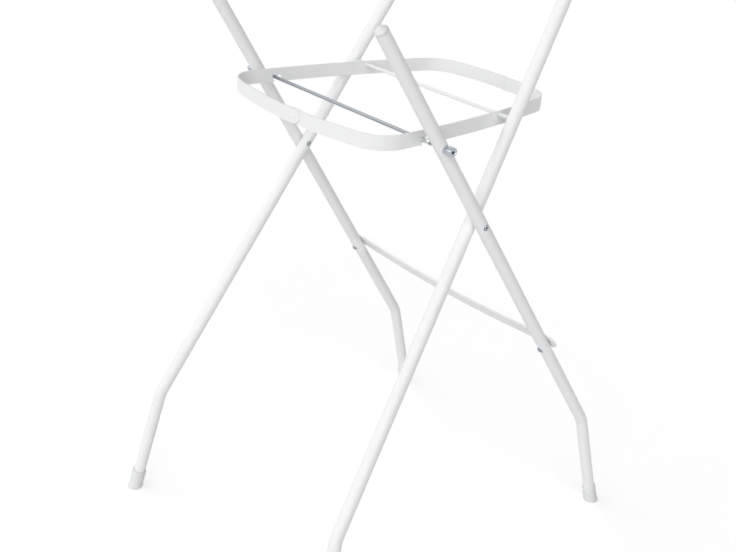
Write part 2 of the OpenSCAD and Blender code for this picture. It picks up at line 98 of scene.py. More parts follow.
class Bench:
    """A material's node tree, with short calls for the nodes that the finishes share."""

    def __init__(self, name: str) -> None:
        """Starts a material with its output and its shader.

        Args:
            name: The material's name.
        """
        self.material = bpy.data.materials.new(name)
        self.material.use_nodes = True
        self.tree = self.material.node_tree
        self.tree.nodes.clear()
        self.output = self.add("ShaderNodeOutputMaterial")
        self.shader = self.add("ShaderNodeBsdfPrincipled")
        self.join(self.shader.outputs["BSDF"], self.output.inputs["Surface"])
        self.place = self.add("ShaderNodeTexCoord").outputs["Object"]

    def add(self, kind: str) -> bpy.types.Node:
        """Returns a new node of that kind."""
        return self.tree.nodes.new(kind)

    def join(self, source: bpy.types.NodeSocket, target: bpy.types.NodeSocket) -> None:
        """Links an output to an input."""
        self.tree.links.new(source, target)

    def set(self, **values: object) -> None:
        """Sets the shader's own sockets.

        Args:
            values: Socket names with underscores for spaces, and their values.
        """
        for name, value in values.items():
            self.shader.inputs[name.replace("_", " ")].default_value = value

    def mapped(
        self,
        scale: tuple[float, float, float] = (1, 1, 1),
        centre: tuple[float, float, float] = (0, 0, 0),
    ) -> bpy.types.NodeSocket:
        """Gives the Object coordinates about a centre, stretched by axis.

        Args:
            scale: How many times finer the pattern is along each axis.
            centre: The point that the pattern is centred on.

        Returns:
            The socket with the coordinates.
        """
        node = self.add("ShaderNodeMapping")
        node.inputs["Location"].default_value = [-c * s for c, s in zip(centre, scale)]
        node.inputs["Scale"].default_value = scale
        self.join(self.place, node.inputs["Vector"])
        return node.outputs["Vector"]

    def noise(
        self,
        scale: float,
        detail: float = 2.0,
        roughness: float = 0.5,
        vector: bpy.types.NodeSocket | None = None,
    ) -> bpy.types.NodeSocket:
        """Gives a noise between 0 and 1.

        Args:
            scale: Waves per metre.
            detail: Octaves.
            roughness: Strength of the finer octaves.
            vector: The coordinates, or None for the plain Object coordinates.

        Returns:
            The noise's value.
        """
        node = self.add("ShaderNodeTexNoise")
        node.inputs["Scale"].default_value = scale
        node.inputs["Detail"].default_value = detail
        node.inputs["Roughness"].default_value = roughness
        self.join(vector or self.place, node.inputs["Vector"])
        return node.outputs["Fac"]

    def cells(self, scale: float) -> bpy.types.NodeSocket:
        """Makes a pattern of crystal-like cells.

        Args:
            scale: The cells per metre.

        Returns:
            One random value for each cell.
        """
        node = self.add("ShaderNodeTexVoronoi")
        node.inputs["Scale"].default_value = scale
        self.join(self.place, node.inputs["Vector"])
        grey = self.add("ShaderNodeRGBToBW")
        self.join(node.outputs["Color"], grey.inputs["Color"])
        return grey.outputs["Val"]

    def spread(
        self, value: bpy.types.NodeSocket, low: float, high: float, sharp: float = 0.0
    ) -> bpy.types.NodeSocket:
        """Turns a noise into a range of numbers.

        Args:
            value: A value between 0 and 1.
            low: The number at 0.
            high: The number at 1.
            sharp: How much of the value is cut off at either end.

        Returns:
            The number's socket.
        """
        node = self.add("ShaderNodeMapRange")
        node.inputs["From Min"].default_value = sharp
        node.inputs["From Max"].default_value = 1.0 - sharp
        node.inputs["To Min"].default_value = low
        node.inputs["To Max"].default_value = high
        self.join(value, node.inputs["Value"])
        return node.outputs["Result"]

    def tint(
        self,
        value: bpy.types.NodeSocket,
        stops: list[tuple[float, tuple[float, float, float]]],
    ) -> bpy.types.NodeSocket:
        """Colours a value by a ramp.

        Args:
            value: A value between 0 and 1.
            stops: Places on the ramp and their colours.

        Returns:
            The colour's socket.
        """
        node = self.add("ShaderNodeValToRGB")
        ramp = node.color_ramp
        while len(ramp.elements) < len(stops):
            ramp.elements.new(0.5)
        for element, (place, colour) in zip(ramp.elements, stops):
            element.position = place
            element.color = (*colour, 1.0)
        self.join(value, node.inputs["Fac"])
        return node.outputs["Color"]

    def blend(
        self,
        amount: bpy.types.NodeSocket,
        base: bpy.types.NodeSocket,
        over: tuple[float, float, float],
    ) -> bpy.types.NodeSocket:
        """Lays a plain colour over another by an amount.

        Args:
            amount: 0 for the base, 1 for the colour over it.
            base: The colour below.
            over: The colour on top.

        Returns:
            The colour's socket.
        """
        node = self.add("ShaderNodeMix")
        node.data_type = "RGBA"
        self.join(amount, node.inputs[0])
        self.join(base, node.inputs[6])
        node.inputs[7].default_value = (*over, 1.0)
        return node.outputs[2]

    def near_line(
        self, line: Line, radius: float, soft: float, outside: bool = False
    ) -> bpy.types.NodeSocket:
        """Marks what lies close to a line, or what lies away from it.

        Args:
            line: The line.
            radius: How far the mark reaches.
            soft: The width of its edge.
            outside: Whether the mark is what lies away from the line.

        Returns:
            1 in the mark and 0 out of it.
        """
        cross = self.add("ShaderNodeVectorMath")
        cross.operation = "CROSS_PRODUCT"
        self.join(self.mapped(centre=line.point), cross.inputs[0])
        cross.inputs[1].default_value = line.way
        length = self.add("ShaderNodeVectorMath")
        length.operation = "LENGTH"
        self.join(cross.outputs["Vector"], length.inputs[0])
        span = self.add("ShaderNodeMapRange")
        span.interpolation_type = "SMOOTHSTEP"
        edge = -soft if outside else soft
        span.inputs["From Min"].default_value = radius + edge
        span.inputs["From Max"].default_value = radius - edge
        self.join(length.outputs["Value"], span.inputs["Value"])
        return span.outputs["Result"]

    def relief(self, layers: list[tuple[bpy.types.NodeSocket, float, float]]) -> None:
        """Stacks bumps on the shader's normal.

        Args:
            layers: Height, strength and depth in metres of each bump.
        """
        normal = None
        for height, strength, depth in layers:
            node = self.add("ShaderNodeBump")
            node.inputs["Strength"].default_value = strength
            node.inputs["Distance"].default_value = depth
            self.join(height, node.inputs["Height"])
            if normal is not None:
                self.join(normal, node.inputs["Normal"])
            normal = node.outputs["Normal"]
        self.join(normal, self.shader.inputs["Normal"])


@dataclass(frozen=True)
class PowderCoat:
    """White powder coat on steel: a soft orange-peel skin, slightly glossy."""

    name: str
    colour: tuple[float, float, float] = (0.884, 0.888, 0.890)
    deep: tuple[float, float, float] = (0.864, 0.869, 0.872)
    gloss: tuple[float, float] = (0.30, 0.42)
    peel_scale: float = 620.0
    peel_depth: float = 0.00005

    def make(self) -> bpy.types.Material:
        """Returns the material."""
        bench = Bench(self.name)
        cloud = bench.noise(9.0, 3.0)
        bench.join(
            bench.tint(cloud, [(0.3, self.deep), (0.7, self.colour)]),
            bench.shader.inputs["Base Color"],
        )
        patch = bench.noise(70.0, 4.0, 0.6)
        bench.join(
            bench.spread(patch, self.gloss[0], self.gloss[1], 0.25),
            bench.shader.inputs["Roughness"],
        )
        bench.relief(
            [
                (bench.noise(self.peel_scale, 1.5, 0.4), 0.35, self.peel_depth),
                (bench.noise(2400.0, 1.0), 0.15, self.peel_depth / 4),
            ]
        )
        bench.set(Specular_IOR_Level=0.4, Coat_Weight=0.08, Coat_Roughness=0.22)
        return bench.material


@dataclass(frozen=True)
class ZincPlate:
    """Bright zinc on a turned or stamped part: faint cells, turning lines, and painted shade over
    each socket.
    """

    name: str
    light: tuple[float, float, float] = (0.56, 0.60, 0.645)
    dark: tuple[float, float, float] = (0.31, 0.335, 0.365)
    gloss: tuple[float, float] = (0.18, 0.34)
    sockets: tuple[Line, ...] = ()
    socket_radius: float = 0.0024
    shade: tuple[float, float, float] = (0.10, 0.105, 0.115)

    def make(self) -> bpy.types.Material:
        """Returns the material."""
        bench = Bench(self.name)
        colour = bench.tint(bench.cells(900.0), [(0.15, self.dark), (0.85, self.light)])
        # Painted shade: round each socket's axis the colour is darkened, as if the recess lay in
        # shade.
        for socket in self.sockets:
            mark = bench.near_line(socket, self.socket_radius, self.socket_radius * 0.1)
            colour = bench.blend(mark, colour, self.shade)
        bench.join(colour, bench.shader.inputs["Base Color"])
        lines = bench.noise(1.0, 2.0, 0.6, bench.mapped((5200.0, 60.0, 60.0)))
        bench.join(
            bench.spread(lines, self.gloss[0], self.gloss[1], 0.2),
            bench.shader.inputs["Roughness"],
        )
        bench.relief([(lines, 0.25, 0.00002), (bench.noise(800.0, 2.0), 0.2, 0.00004)])
        bench.set(Metallic=1.0)
        return bench.material


@dataclass(frozen=True)
class DrawnSteel:
    """Bare drawn wire: blue-grey, with faint long streaks along the rod."""

    name: str
    light: tuple[float, float, float] = (0.330, 0.352, 0.372)
    dark: tuple[float, float, float] = (0.285, 0.304, 0.322)

    def make(self) -> bpy.types.Material:
        """Returns the material."""
        bench = Bench(self.name)
        streaks = bench.noise(1.0, 3.0, 0.6, bench.mapped((9.0, 700.0, 700.0)))
        bench.join(
            bench.tint(streaks, [(0.3, self.dark), (0.7, self.light)]),
            bench.shader.inputs["Base Color"],
        )
        bench.join(
            bench.spread(bench.noise(160.0, 3.0), 0.30, 0.42, 0.2),
            bench.shader.inputs["Roughness"],
        )
        bench.relief([(streaks, 0.2, 0.00001)])
        bench.set(Metallic=1.0)
        return bench.material


@dataclass(frozen=True)
class ScrewSteel:
    """Plated screw steel, with painted shade darkening the drive and the head's rim."""

    name: str
    drives: tuple[Line, ...]
    drive_radius: float
    rim_radius: float
    light: tuple[float, float, float] = (0.40, 0.43, 0.46)
    dark: tuple[float, float, float] = (0.25, 0.27, 0.29)
    drive_shade: tuple[float, float, float] = (0.045, 0.05, 0.054)
    rim_shade: tuple[float, float, float] = (0.11, 0.12, 0.13)

    def make(self) -> bpy.types.Material:
        """Returns the material."""
        bench = Bench(self.name)
        colour = bench.tint(
            bench.noise(900.0, 3.0, 0.6), [(0.3, self.dark), (0.7, self.light)]
        )
        for drive in self.drives:
            if len(self.drives) == 1:
                # Painted shade outside the rim radius: the gap round the head in its hole is
                # darkened in the colour.
                rim = bench.near_line(drive, self.rim_radius, self.rim_radius * 0.08, True)
                colour = bench.blend(rim, colour, self.rim_shade)
            # Painted shade over the drive: the socket's recess is darkened in the colour.
            mark = bench.near_line(drive, self.drive_radius, self.drive_radius * 0.12)
            colour = bench.blend(mark, colour, self.drive_shade)
        bench.join(colour, bench.shader.inputs["Base Color"])
        bench.join(
            bench.spread(bench.noise(500.0, 2.0), 0.24, 0.40, 0.2),
            bench.shader.inputs["Roughness"],
        )
        bench.relief([(bench.noise(1500.0, 2.0), 0.25, 0.00003)])
        bench.set(Metallic=1.0)
        return bench.material


@dataclass(frozen=True)
class MouldedPlastic:
    """Moulded white plastic with a fine spark-eroded grain."""

    name: str
    colour: tuple[float, float, float] = (0.80, 0.81, 0.81)
    deep: tuple[float, float, float] = (0.75, 0.76, 0.76)
    gloss: tuple[float, float] = (0.42, 0.55)
    grain_scale: float = 1500.0
    grain_depth: float = 0.00006

    def make(self) -> bpy.types.Material:
        """Returns the material."""
        bench = Bench(self.name)
        bench.join(
            bench.tint(bench.noise(30.0, 2.0), [(0.3, self.deep), (0.7, self.colour)]),
            bench.shader.inputs["Base Color"],
        )
        grain = bench.noise(self.grain_scale, 2.0, 0.6)
        bench.join(
            bench.spread(grain, self.gloss[0], self.gloss[1], 0.2),
            bench.shader.inputs["Roughness"],
        )
        bench.relief([(grain, 0.4, self.grain_depth)])
        bench.set(Subsurface_Weight=0.06, Subsurface_Scale=0.003)
        return bench.material


# ---------------------------------------------------------------------------
# Modelling calls
# ---------------------------------------------------------------------------


def start_clean() -> None:
    """Leaves edit mode and deselects everything."""
    if bpy.context.object is not None and bpy.context.object.mode != "OBJECT":
        bpy.ops.object.mode_set(mode="OBJECT")
    bpy.ops.object.select_all(action="DESELECT")


def make_active(obj: bpy.types.Object) -> None:
    """Selects one object alone and makes it active."""
    start_clean()
    obj.select_set(True)
    bpy.context.view_layer.objects.active = obj


def lathe(name: str, stations: list[tuple[float, float]], sides: int = 64) -> bpy.types.Object:
    """Turns a closed round shell about the Z axis, from one pole to the other.

    Args:
        name: The piece's name.
        stations: Height and radius of each ring, from the first pole's ring to the last.
        sides: Vertices of a ring.

    Returns:
        The object, with its axis on Z.
    """
    start_clean()
    height, radius = stations[0]
    bpy.ops.mesh.primitive_circle_add(
        vertices=sides, radius=radius, fill_type="NGON", location=(0, 0, height)
    )
    obj = bpy.context.object
    obj.name = obj.data.name = name
    bpy.ops.object.transform_apply(location=True, rotation=True, scale=True)
    bpy.ops.object.mode_set(mode="EDIT")
    bpy.ops.mesh.select_all(action="SELECT")
    for next_height, next_radius in stations[1:]:
        bpy.ops.mesh.extrude_region_move(
            TRANSFORM_OT_translate={"value": (0, 0, next_height - height)}
        )
        scale = next_radius / radius
        bpy.ops.transform.resize(
            value=(scale, scale, 1), center_override=(0, 0, next_height)
        )
        height, radius = next_height, next_radius
    bpy.ops.mesh.select_all(action="SELECT")
    bpy.ops.mesh.normals_make_consistent(inside=False)
    bpy.ops.object.mode_set(mode="OBJECT")
    return obj


def copy_at(obj: bpy.types.Object, name: str, place: Matrix) -> bpy.types.Object:
    """Copies a piece with its own mesh and puts the copy's mesh in place.

    Args:
        obj: The piece that was modelled.
        name: The copy's name.
        place: Where the copy's mesh goes.

    Returns:
        The copy, with its object at the origin.
    """
    mesh = obj.data.copy()
    mesh.name = name
    mesh.transform(place)
    copy = bpy.data.objects.new(name, mesh)
    bpy.context.scene.collection.objects.link(copy)
    return copy


def along(axis: Vector, origin: Vector) -> Matrix:
    """Returns the matrix that puts the Z axis along an axis at an origin."""
    turn = Vector((0, 0, 1)).rotation_difference(axis.normalized())
    return Matrix.Translation(origin) @ turn.to_matrix().to_4x4()


def cut_at_floor(obj: bpy.types.Object) -> None:
    """Cuts off what lies below the floor and closes the cut with a flat sole.

    Args:
        obj: The piece.
    """
    make_active(obj)
    bpy.ops.object.mode_set(mode="EDIT")
    bpy.ops.mesh.select_all(action="SELECT")
    bpy.ops.mesh.bisect(
        plane_co=(0, 0, 0), plane_no=(0, 0, 1), use_fill=True, clear_inner=True
    )
    bpy.ops.mesh.select_all(action="SELECT")
    bpy.ops.mesh.normals_make_consistent(inside=False)
    bpy.ops.object.mode_set(mode="OBJECT")


def smooth(obj: bpy.types.Object, angle: float) -> None:
    """Shades a piece smooth where its faces meet at less than an angle, in degrees."""
    make_active(obj)
    bpy.ops.object.shade_smooth_by_angle(angle=math.radians(angle))


def softened_copy(node: str, name: str, radius: float) -> bpy.types.Object:
    """Copies a CAD node's mesh and rounds its edges, as a coat of paint does.

    Args:
        node: The CAD node.
        name: The piece's name.
        radius: The edges' radius in metres.

    Returns:
        The rounded piece.
    """
    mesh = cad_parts[node].data.copy()
    mesh.name = name
    obj = bpy.data.objects.new(name, mesh)
    bpy.context.scene.collection.objects.link(obj)
    make_active(obj)
    bpy.ops.object.mode_set(mode="EDIT")
    bpy.ops.mesh.select_all(action="SELECT")
    bpy.ops.mesh.remove_doubles(threshold=0.000002)
    bpy.ops.mesh.dissolve_limited(angle_limit=math.radians(0.05))
    bpy.ops.object.mode_set(mode="OBJECT")
    bevel = obj.modifiers.new("edges", "BEVEL")
    bevel.width = radius
    bevel.segments = 2
    bevel.limit_method = "ANGLE"
    bevel.angle_limit = math.radians(40)
    bpy.ops.object.modifier_apply(modifier=bevel.name)
    bpy.ops.object.shade_smooth()
    even = obj.modifiers.new("even", "WEIGHTED_NORMAL")
    even.mode = "FACE_AREA"
    even.weight = 60
    bpy.ops.object.modifier_apply(modifier=even.name)
    return obj


def drill(
    obj: bpy.types.Object, place: Matrix, radius: float, depth: float, sides: int = 64
) -> None:
    """Cuts a round hole, or a hexagonal one with six sides, into a piece.

    Args:
        obj: The piece.
        place: Puts the hole's mouth and its way in, which is Z, on the piece.
        radius: The hole's radius, over its corners.
        depth: The hole's depth. The cutter starts as far again outside the mouth.
        sides: The hole's sides.
    """
    start_clean()
    bpy.ops.mesh.primitive_cylinder_add(vertices=sides, radius=radius, depth=2 * depth)
    cutter = bpy.context.object
    cutter.data.transform(place)
    cut = obj.modifiers.new("cut", "BOOLEAN")
    cut.operation = "DIFFERENCE"
    cut.solver = "EXACT"
    cut.object = cutter
    make_active(obj)
    bpy.ops.object.modifier_apply(modifier=cut.name)
    bpy.data.objects.remove(cutter)


def finish_piece(
    obj: bpy.types.Object, material: bpy.types.Material, body: Body
) -> None:
    """Gives a new piece its material and body, and reports it.

    Args:
        obj: The piece.
        material: Its finish.
        body: The body that it rides on.
    """
    obj.data.materials.clear()
    obj.data.materials.append(material)
    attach(obj, body.value)
    LOG.info("%s: %d faces, rides on %s", obj.name, len(obj.data.polygons), body.value)


def dress_node(node: str, material: bpy.types.Material) -> None:
    """Puts a finish on a CAD node's material slots and reports it.

    Args:
        node: The node's name.
        material: The finish.
    """
    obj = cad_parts[node]
    if not obj.material_slots:
        obj.data.materials.append(material)
    for place in obj.material_slots:
        place.material = material
    LOG.info("%s: dressed in %s", node, material.name)


# ---------------------------------------------------------------------------
# The stand
# ---------------------------------------------------------------------------


@dataclass(frozen=True)
class LegLine:
    """The centreline of one leg, as the frames are bent."""

    side: Side
    outer: bool
    pivot_height: float = 0.675
    leg_spread: float = 0.492
    pivot_gap: float = 0.0026
    tube_d: float = 0.022
    lean: float = 32.6
    foot_lean: float = 14.8
    outer_splay: float = 2.7
    inner_splay: float = 5.3
    leg_above: float = 0.400
    foot_bend_at: float = 0.555

    def down(self, lean: float) -> Vector:
        """Finds the way down the leg.

        Args:
            lean: The leg's angle from upright in the side view, in degrees.

        Returns:
            The way, for a step of one in the side view.
        """
        splay = self.outer_splay if self.outer else self.inner_splay
        way = 1 if self.outer else -1
        return Vector(
            (
                self.side.value * math.tan(math.radians(splay)),
                way * math.sin(math.radians(lean)),
                -math.cos(math.radians(lean)),
            )
        )

    def point(self, along_leg: float) -> Vector:
        """Finds a point of the leg.

        Args:
            along_leg: The distance down the leg from the pivot.

        Returns:
            The point on the centreline.
        """
        half = self.leg_spread / 2
        if not self.outer:
            half -= self.tube_d + self.pivot_gap
        return Vector((self.side.value * half, 0, self.pivot_height)) + (
            self.down(self.lean) * along_leg
        )

    @property
    def top(self) -> Vector:
        """Returns the tube's top end."""
        return self.point(-self.leg_above)

    @property
    def sole(self) -> Vector:
        """Returns the point where the foot's centreline meets the floor."""
        bend = self.point(self.foot_bend_at)
        way = self.down(self.foot_lean)
        return bend + way * (bend.z / -way.z)

    @property
    def frame_word(self) -> str:
        """Returns the frame's word in node names."""
        return "outer" if self.outer else "inner"

    @property
    def body(self) -> Body:
        """Returns the frame's body."""
        return Body.OUTER_FRAME if self.outer else Body.INNER_FRAME


LEGS: tuple[LegLine, ...] = tuple(
    LegLine(side, outer) for outer in (True, False) for side in Side
)


@dataclass
class Boots:
    """The four moulded feet: a grip with three grooves, a rolled mouth and a flared tread."""

    cup_r: float = 0.0132
    tube_r: float = 0.011
    grip: float = 0.030
    floor_t: float = 0.004
    flare: float = 0.0022
    groove: float = 0.0006
    play: float = 0.0001
    pieces: list[bpy.types.Object] = field(default_factory=list)

    def stations(self) -> list[tuple[float, float]]:
        """Returns the boot's rings, from the cup's floor over the mouth and down to the tread.

        The tube's end is at a height of 0, and the tread lies below.
        """
        bore = self.tube_r + self.play
        mouth = self.grip
        rim = self.cup_r - bore
        rings = [(0.0, bore * 0.5), (0.0, bore), (mouth - rim * 0.4, bore)]
        for step in range(1, 6):
            turn = math.pi * step / 6
            rings.append(
                (
                    mouth - rim * 0.4 + rim * 0.4 * math.sin(turn),
                    bore + rim * (1 - math.cos(turn)) / 2,
                )
            )
        rings.append((mouth - rim * 0.4, self.cup_r))
        for groove in range(3):
            top = mouth - 0.0055 - groove * 0.0055
            for drop, depth in ((0, 0), (0.0004, 0.8), (0.0008, 1), (0.0016, 1), (0.002, 0.8)):
                rings.append((top - drop, self.cup_r - depth * self.groove))
            rings.append((top - 0.0024, self.cup_r))
        reach = 0.034
        rings.append((0.004, self.cup_r))
        for step in range(1, 9):
            way = step / 8
            rings.append(
                (0.004 - way * reach, self.cup_r + self.flare * min(1.0, way * 2.2) ** 1.6)
            )
        return rings

    def build(self, material: bpy.types.Material) -> None:
        """Models one boot, and puts a copy cut at the floor on each leg.

        Args:
            material: The boots' plastic.
        """
        pattern = lathe("boot_pattern", self.stations())
        for leg in LEGS:
            way = leg.down(leg.foot_lean).normalized()
            name = f"{leg.frame_word}_foot_cap_{leg.side.word}"
            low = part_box(name)
            mouth_rise = (self.floor_t + self.cup_r * math.tan(math.acos(-way.z))) / -way.z
            end = leg.sole - way * mouth_rise
            boot = copy_at(pattern, f"{leg.frame_word}_boot_{leg.side.word}", along(-way, end))
            cut_at_floor(boot)
            smooth(boot, SMOOTH_UNDER)
            finish_piece(boot, material, leg.body)
            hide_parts(name)
            LOG.info("%s: %.1f mm high, its cap %.1f mm", boot.name,
                     1000 * max(v.co.z for v in boot.data.vertices), 1000 * low[1].z)
            self.pieces.append(boot)
        bpy.data.objects.remove(pattern)


@dataclass
class TopPlugs:
    """The plugs in the tubes' top ends: a shank, a rim and a low dome with its gate mark."""

    tube_r: float = 0.011
    shank_r: float = 0.0094
    shank: float = 0.024
    rim: float = 0.0025
    dome: float = 0.006
    edge: float = 0.0004
    gate_r: float = 0.0014
    gap: float = 0.0001
    pieces: list[bpy.types.Object] = field(default_factory=list)

    def stations(self) -> list[tuple[float, float]]:
        """Returns the plug's rings, from the shank's end up to the gate mark."""
        rings = [
            (-self.shank, self.shank_r * 0.5),
            (-self.shank, self.shank_r - 0.0006),
            (-self.shank + 0.0012, self.shank_r),
            (0.0, self.shank_r),
            (0.0, self.tube_r - self.edge),
            (self.edge * 0.3, self.tube_r - self.edge * 0.3),
            (self.edge, self.tube_r),
            (self.rim, self.tube_r),
        ]
        ball = (self.tube_r**2 + self.dome**2) / (2 * self.dome)
        for step in range(1, 15):
            r = self.tube_r - (self.tube_r - self.gate_r) * step / 14
            rings.append((self.rim + self.dome - ball + math.sqrt(ball**2 - r**2), r))
        peak = rings[-1][0]
        rings += [(peak - 0.0003, self.gate_r * 0.86), (peak - 0.0003, self.gate_r * 0.3)]
        return rings

    def build(self, material: bpy.types.Material) -> None:
        """Models one plug and puts a copy on each leg.

        Args:
            material: The plugs' plastic.
        """
        pattern = lathe("plug_pattern", self.stations())
        for leg in LEGS:
            out = -leg.down(leg.lean).normalized()
            plug = copy_at(
                pattern,
                f"{leg.frame_word}_plug_{leg.side.word}",
                along(out, leg.top + out * self.gap),
            )
            smooth(plug, SMOOTH_UNDER)
            finish_piece(plug, material, leg.body)
            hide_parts(f"{leg.frame_word}_top_cap_{leg.side.word}")
            self.pieces.append(plug)
        bpy.data.objects.remove(pattern)


@dataclass
class FrameTubes:
    """The four legs, with the strip that ties the outer two."""

    edge_r: float = 0.0005

    def build(self, coat: bpy.types.Material) -> None:
        """Dresses the tubes and rounds the strip's edges.

        Args:
            coat: The white powder coat.
        """
        for leg in LEGS:
            dress_node(f"{leg.frame_word}_leg_{leg.side.word}", coat)
        strip = softened_copy("stretcher_strip", "stretcher_band", self.edge_r)
        finish_piece(strip, coat, Body.OUTER_FRAME)
        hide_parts("stretcher_strip")


@dataclass
class Ring:
    """The band ring that carries the bath, in two lapped halves."""

    edge_r: float = 0.0006

    def build(self, coat: bpy.types.Material) -> None:
        """Rounds and dresses the two halves and dresses the rivets.

        Args:
            coat: The white powder coat.
        """
        for side in Side:
            band = softened_copy(f"ring_half_{side.word}", f"band_{side.word}", self.edge_r)
            finish_piece(band, coat, Body.RING)
            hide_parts(f"ring_half_{side.word}")
        dress_node("ring_rivets", coat)


@dataclass
class PivotScrews:
    """The two screws that the frames turn on, with heads that fill their holes in the tubes."""

    shank_r: float = 0.003
    head_r: float = 0.00495
    edge: float = 0.0005
    seat: float = -0.0073
    face: float = 0.0100
    crown: float = 0.0010
    dome: tuple[tuple[float, float], ...] = ((0.4, 0.78), (0.75, 0.55))
    tail: float = -0.0238
    socket: float = 0.005
    socket_depth: float = 0.004
    # The steel paints shade over the socket out to drive_r, and round the head outside rim_r;
    # socket_shade is the socket's painted shade.
    drive_r: float = 0.0021
    rim_r: float = 0.0038
    light: tuple[float, float, float] = (0.74, 0.79, 0.82)
    dark: tuple[float, float, float] = (0.46, 0.50, 0.53)
    socket_shade: tuple[float, float, float] = (0.11, 0.125, 0.135)

    def stations(self) -> list[tuple[float, float]]:
        """Returns the screw's rings from its tail to its head, about the tube's centreline."""
        return [
            (self.tail, self.shank_r - self.edge),
            (self.tail + self.edge, self.shank_r),
            (self.seat, self.shank_r),
            (self.seat, self.head_r - self.edge),
            (self.seat + self.edge, self.head_r),
            (self.face - self.edge, self.head_r),
            (self.face - self.edge * ROUNDED, self.head_r - self.edge * ROUNDED),
            (self.face, self.head_r - self.edge),
            *((self.face + self.crown * up, self.head_r * out) for up, out in self.dome),
        ]

    def build(self) -> None:
        """Models one screw and puts a copy in the right leg of each crossing."""
        pattern = lathe("screw_pattern", self.stations())
        top = Matrix.Translation((0, 0, self.face + self.crown))
        drill(pattern, top, self.socket / math.sqrt(3), self.socket_depth, HEXAGON)
        for leg in LEGS:
            if leg.outer == (leg.side is Side.LEFT):
                continue
            name = f"pivot_screw_{leg.side.word}"
            centre = leg.point(0.0)
            place = along(Vector((1, 0, 0)), centre)
            screw = copy_at(pattern, f"sunk_screw_{leg.side.word}", place)
            smooth(screw, SMOOTH_UNDER)
            steel = ScrewSteel(
                f"{name}_steel",
                (Line((0.0, centre.y, centre.z)),),
                self.drive_r,
                self.rim_r,
                self.light,
                self.dark,
                self.socket_shade,
            )
            finish_piece(screw, steel.make(), Body.OUTER_FRAME)
            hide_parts(name)
        bpy.data.objects.remove(pattern)


@dataclass
class RodNuts:
    """The two barrel nuts on the front rod: a neck, a wider end and a socket in its flat face."""

    rod_at: float = 0.176
    rod_r: float = 0.003
    neck_r: float = 0.0071
    barrel_r: float = 0.00775
    tube_r: float = 0.011
    stand_off: float = 0.015
    collar: float = 0.0085
    edge: float = 0.0005
    dish: float = 0.0007
    land: float = 0.72
    dish_rim: float = 0.64
    dish_floor: float = 0.5
    socket: float = 0.005
    socket_depth: float = 0.005
    bore_depth: float = 0.0105
    bed_reach: float = 0.033
    bed_play: float = 0.0001
    bed_sides: int = 128

    def stations(self) -> list[tuple[float, float]]:
        """Returns the nut's rings, from inside the tube's outline to the dished face."""
        end = self.tube_r + self.stand_off
        rise = end - self.collar
        return [
            (self.tube_r / 2, self.neck_r),
            (rise - self.edge, self.neck_r),
            (rise, self.barrel_r - self.edge),
            (rise + self.edge, self.barrel_r),
            (end - self.edge, self.barrel_r),
            (end - self.edge * ROUNDED, self.barrel_r - self.edge * ROUNDED),
            (end, self.barrel_r - self.edge),
            (end, self.barrel_r * self.land),
            (end - self.dish, self.barrel_r * self.dish_rim),
            (end - self.dish, self.barrel_r * self.dish_floor),
        ]

    def build(self) -> None:
        """Models one nut, and beds a copy on the outside of each outer leg."""
        pattern = lathe("nut_pattern", self.stations())
        face = Matrix.Translation((0, 0, self.tube_r + self.stand_off))
        drill(pattern, face, self.socket / math.sqrt(3), self.socket_depth, HEXAGON)
        inner = Matrix.Translation((0, 0, self.tube_r / 2))
        drill(pattern, inner, self.rod_r + self.bed_play, self.bore_depth)
        for leg in LEGS:
            if not leg.outer:
                continue
            name = f"barrel_nut_{leg.side.word}"
            centre = leg.point(-self.rod_at)
            out = Vector((leg.side.value, 0, 0))
            nut = copy_at(pattern, f"rod_nut_{leg.side.word}", along(out, centre))
            bed = along(leg.down(leg.lean), centre)
            drill(nut, bed, self.tube_r + self.bed_play, self.bed_reach, self.bed_sides)
            smooth(nut, SMOOTH_UNDER)
            # The socket's axis, where the zinc's painted shade is centred.
            line = Line((0.0, centre.y, centre.z))
            finish_piece(
                nut,
                ZincPlate(f"{name}_zinc", sockets=(line,)).make(),
                Body.OUTER_FRAME,
            )
            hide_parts(name)
        bpy.data.objects.remove(pattern)


@dataclass
class Hardware:
    """Rods, spacers, washers, and the small screws and nuts."""

    strip_drive_r: float = 0.0018
    strip_rim_r: float = 0.0051
    strip_at: float = 0.321
    # The sleeves' zinc tones, raised above the plain zinc's: their own zinc colour plus painted
    # light.
    sleeve_light: tuple[float, float, float] = (0.86, 0.89, 0.88)
    sleeve_dark: tuple[float, float, float] = (0.56, 0.60, 0.59)

    def build(
        self,
        coat: bpy.types.Material,
        zinc: bpy.types.Material,
        wire: bpy.types.Material,
        nylon: bpy.types.Material,
    ) -> None:
        """Dresses what holds the frames together.

        Args:
            coat: The rear rod's powder coat.
            zinc: The pivot nuts' plating.
            wire: The front rod's steel.
            nylon: The rear rod's sleeves and the washers.
        """
        dress_node("rear_rod", coat)
        dress_node("front_rod", wire)
        dress_node("rear_rod_spacers", nylon)
        dress_node("pivot_washers", nylon)
        dress_node("pivot_nuts", zinc)
        # A lighter copy of the zinc for the front sleeves: the raised colour paints in the
        # brightness of their reflections.
        sleeve = ZincPlate("sleeve_zinc_painted_light", self.sleeve_light, self.sleeve_dark)
        dress_node("front_rod_spacers", sleeve.make())
        # Axes of the strip screws' drives, round which their steel paints shade.
        front = tuple(
            Line(
                tuple(leg.point(self.strip_at)),
                (0.0, math.cos(math.radians(leg.lean)), math.sin(math.radians(leg.lean))),
            )
            for leg in LEGS
            if leg.outer
        )
        strip_steel = ScrewSteel("strip_screw_steel", front, self.strip_drive_r, self.strip_rim_r)
        dress_node("stretcher_screws", strip_steel.make())


# ---------------------------------------------------------------------------
# Studio
# ---------------------------------------------------------------------------


def heading(azimuth: float, elevation: float) -> Vector:
    """Finds the unit way to a compass place.

    Args:
        azimuth: Degrees from -Y towards +X.
        elevation: Degrees up.

    Returns:
        The way.
    """
    around, above = math.radians(azimuth), math.radians(elevation)
    return Vector(
        (
            math.sin(around) * math.cos(above),
            -math.cos(around) * math.cos(above),
            math.sin(above),
        )
    )


